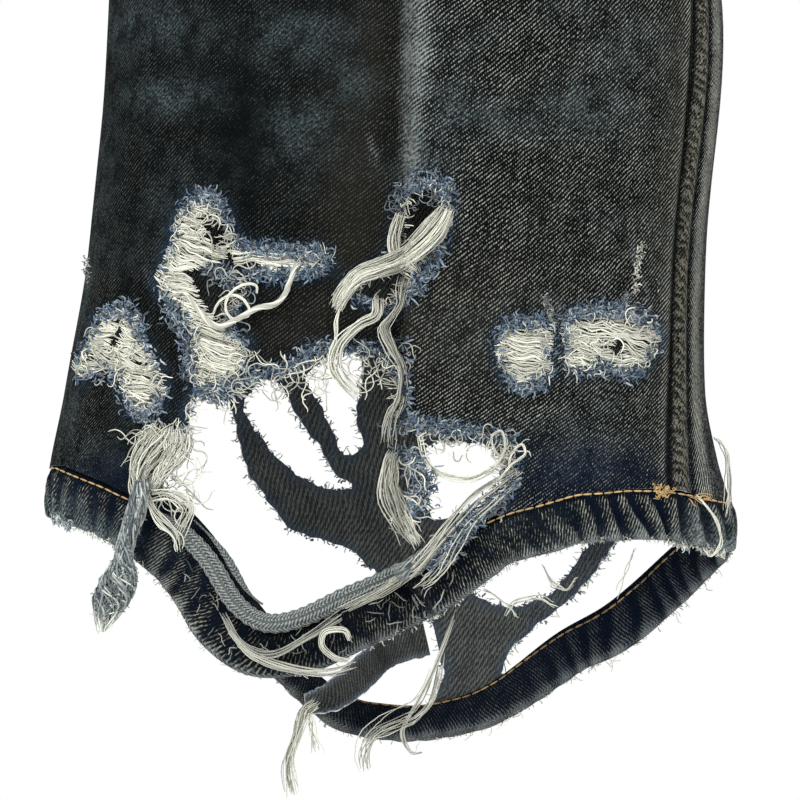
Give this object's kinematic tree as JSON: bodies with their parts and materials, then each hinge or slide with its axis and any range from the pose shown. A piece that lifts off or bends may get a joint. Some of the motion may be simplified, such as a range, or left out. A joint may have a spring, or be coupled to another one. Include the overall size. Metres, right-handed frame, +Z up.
{
  "type": "ripped jeans",
  "caption": "Hollow, worn-open ripped denim jeans in faded charcoal, with a torn and frayed left hem that hangs in loops front and back",
  "frame": {"origin": "the middle of the waist opening, level with the seat of the waistband, where the wearer's waist holds the jeans", "axes": "+Z up, front faces -Y, the wearer's left leg on +X"},
  "size_m": [0.5864, 0.2488, 1.1088],
  "materials": {
    "charcoal_denim": "right-hand twill, charcoal with a navy cast, faded in clouds",
    "worn_hem_denim": "turned-up twill hem, roped and worn pale along its edge",
    "frayed_yarn": "loose cream weft and pale indigo warp yarns",
    "aged_button_metal": "dull aged metal",
    "zip_tape": "plain dark woven tape"
  },
  "bodies": {
    "root": {"front_left": "charcoal_denim", "front_right": "charcoal_denim", "back_left": "charcoal_denim", "back_right": "charcoal_denim", "yoke_left": "charcoal_denim", "yoke_right": "charcoal_denim", "pocket_facing_left": "charcoal_denim", "pocket_facing_right": "charcoal_denim", "back_pocket_left": "charcoal_denim", "back_pocket_right": "charcoal_denim", "waistband": "charcoal_denim", "belt_loop_1": "charcoal_denim", "belt_loop_2": "charcoal_denim", "belt_loop_3": "charcoal_denim", "belt_loop_4": "charcoal_denim", "belt_loop_5": "charcoal_denim", "waist_button": "aged_button_metal", "zip": "zip_tape", "hem_left_front": "worn_hem_denim", "hem_left_back": "worn_hem_denim", "hem_right": "worn_hem_denim", "torn_strip_left": "charcoal_denim", "torn_tassel_left": "frayed_yarn"}
  },
  "joints": []
}
